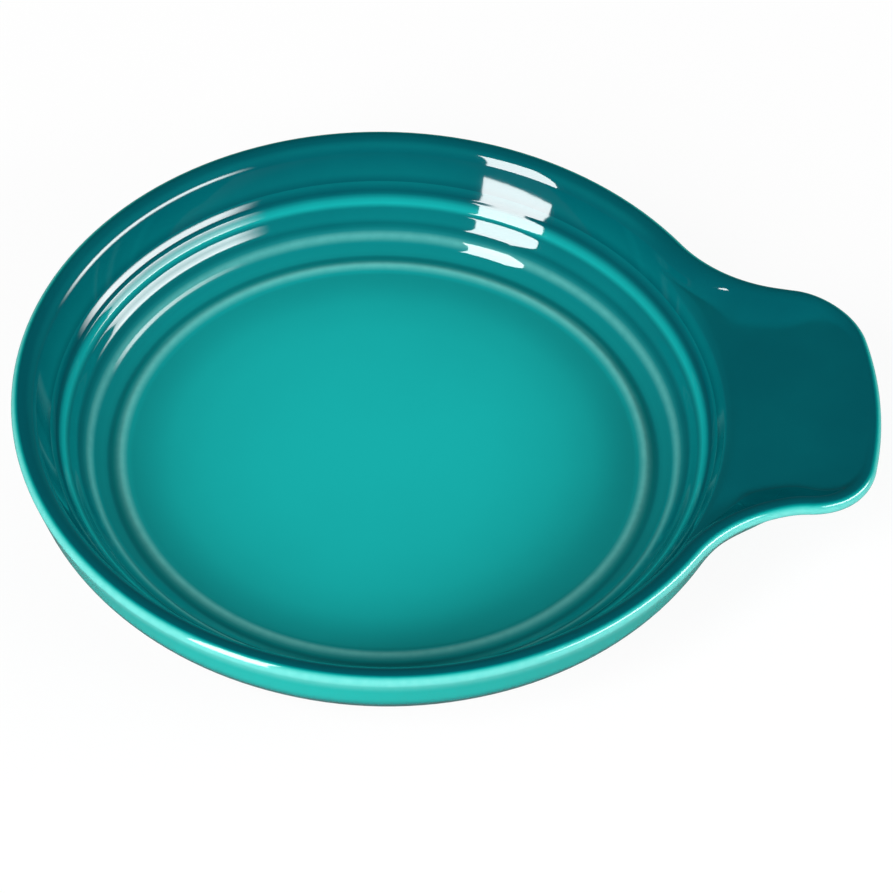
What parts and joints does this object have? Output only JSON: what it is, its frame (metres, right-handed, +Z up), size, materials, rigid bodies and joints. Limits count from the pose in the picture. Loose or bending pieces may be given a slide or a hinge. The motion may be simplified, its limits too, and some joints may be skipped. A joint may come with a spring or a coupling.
{
  "type": "spoon rest",
  "caption": "Round, shallow stoneware dish with raised rings round its floor and a flat handle tab, glazed in shaded teal, for resting a cooking spoon.",
  "frame": {"origin": "centre of the foot ring, on the plane it stands on", "axes": "+Z up out of the dish, +X from the dish's middle along the handle tab"},
  "size_m": [0.1477, 0.1266, 0.0216],
  "materials": {
    "clay": "bare, ground stoneware",
    "floor_glaze": "gloss",
    "wall_glaze": "gloss",
    "outside_glaze": "gloss",
    "base_glaze": "gloss"
  },
  "bodies": {
    "root": {"stoneware_body": "clay", "floor_glaze": "floor_glaze", "wall_glaze": "wall_glaze", "outside_glaze": "outside_glaze", "base_glaze": "base_glaze"}
  },
  "joints": []
}
